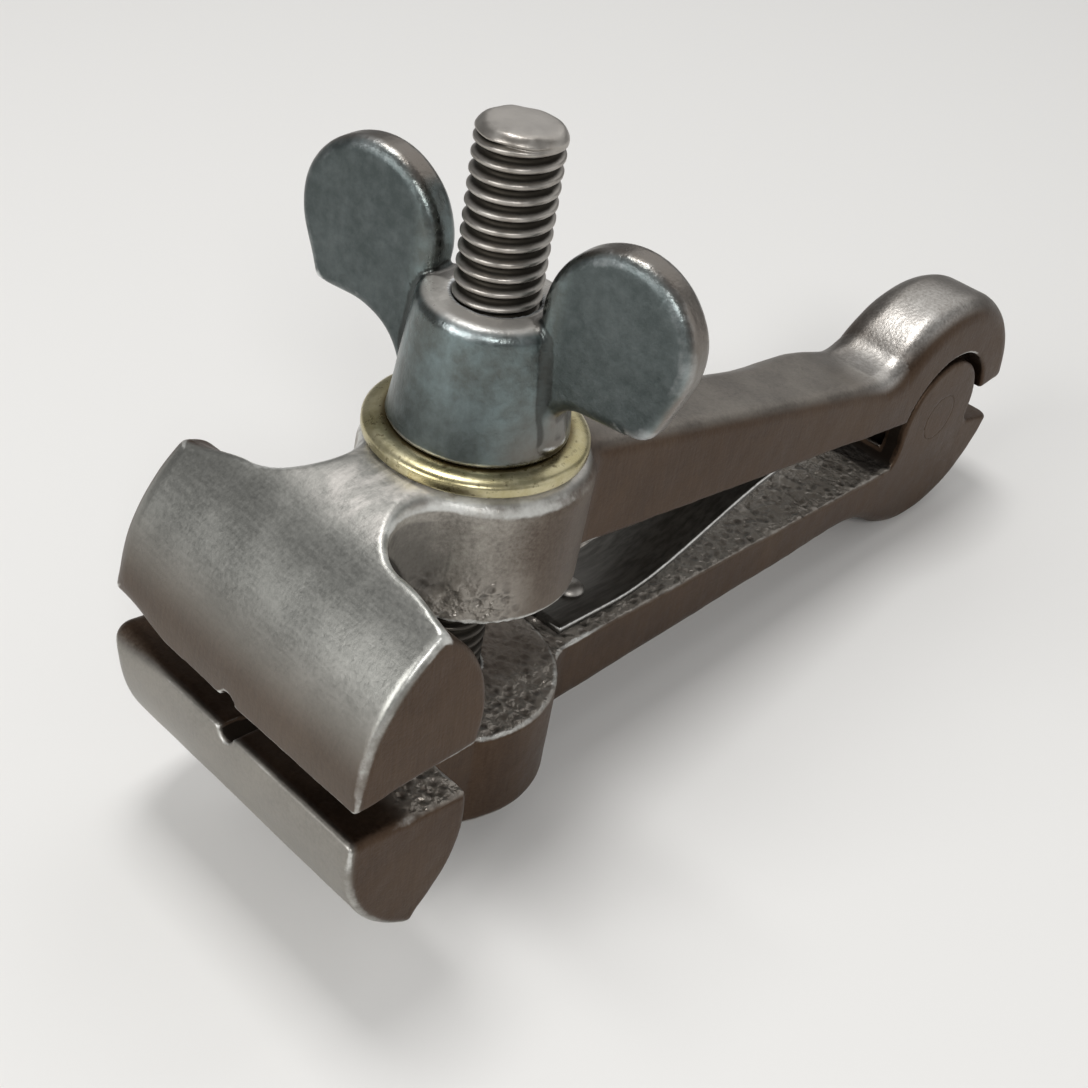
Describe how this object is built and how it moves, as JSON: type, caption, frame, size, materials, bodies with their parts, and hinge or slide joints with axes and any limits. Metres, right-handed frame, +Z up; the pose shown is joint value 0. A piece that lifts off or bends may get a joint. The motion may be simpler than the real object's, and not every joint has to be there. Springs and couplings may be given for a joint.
{
  "type": "hand vise",
  "caption": "Forged hand vise with wide rounded jaws, a rule-joint hinge, a leaf spring between the legs and a wing nut on a screw that closes the jaws.",
  "frame": {"origin": "middle of the object's footprint, on the floor that the screw head and the round of the hinge rest on", "axes": "+X from the jaws to the hinge, +Y along the hinge pin, +Z up"},
  "size_m": [0.1268, 0.0412, 0.0743],
  "materials": {
    "forged_steel": "worn satin forging with dark patina",
    "pin_steel": "filed flush, dark patina",
    "screw_steel": "worn bright thread crests",
    "brass": "polished with tarnished edges",
    "nut_steel": "dark filed steel with bright rubbed edges",
    "spring_steel": "dark blued spring steel"
  },
  "bodies": {
    "lower": {"lower_leg": "forged_steel", "screw": "screw_steel", "hinge_pin": "pin_steel", "leaf_spring": "spring_steel", "spring_rivet": "pin_steel"},
    "upper": {"upper_leg": "forged_steel"},
    "washer": {"washer": "brass"},
    "nut": {"wing_nut": "nut_steel"}
  },
  "joints": [
    {"name": "leg_open", "type": "hinge", "parent": "lower", "child": "upper", "pos_m": [0.04679, 0, 0.0166], "axis": [0, 1, 0], "range_deg": [-1.89, 7.9], "deforming": ["leaf_spring"]},
    {"name": "washer_slide", "type": "slide", "parent": "lower", "child": "washer", "axis": [0.0535, 0, 0.9986], "range_m": [-0.00318, 0.01327]},
    {"name": "nut_turn", "type": "hinge", "parent": "washer", "child": "nut", "pos_m": [-0.03479, 0, 0.04548], "axis": [0.0535, 0, 0.9986], "range_deg": [-811.9, 3386.4]}
  ],
  "couplings": [
    {"joint": "washer_slide", "follows": "nut_turn", "m_per_rad": 0.00022458},
    {"joint": "leg_open", "follows": "nut_turn", "ratio": 0.0023328}
  ]
}
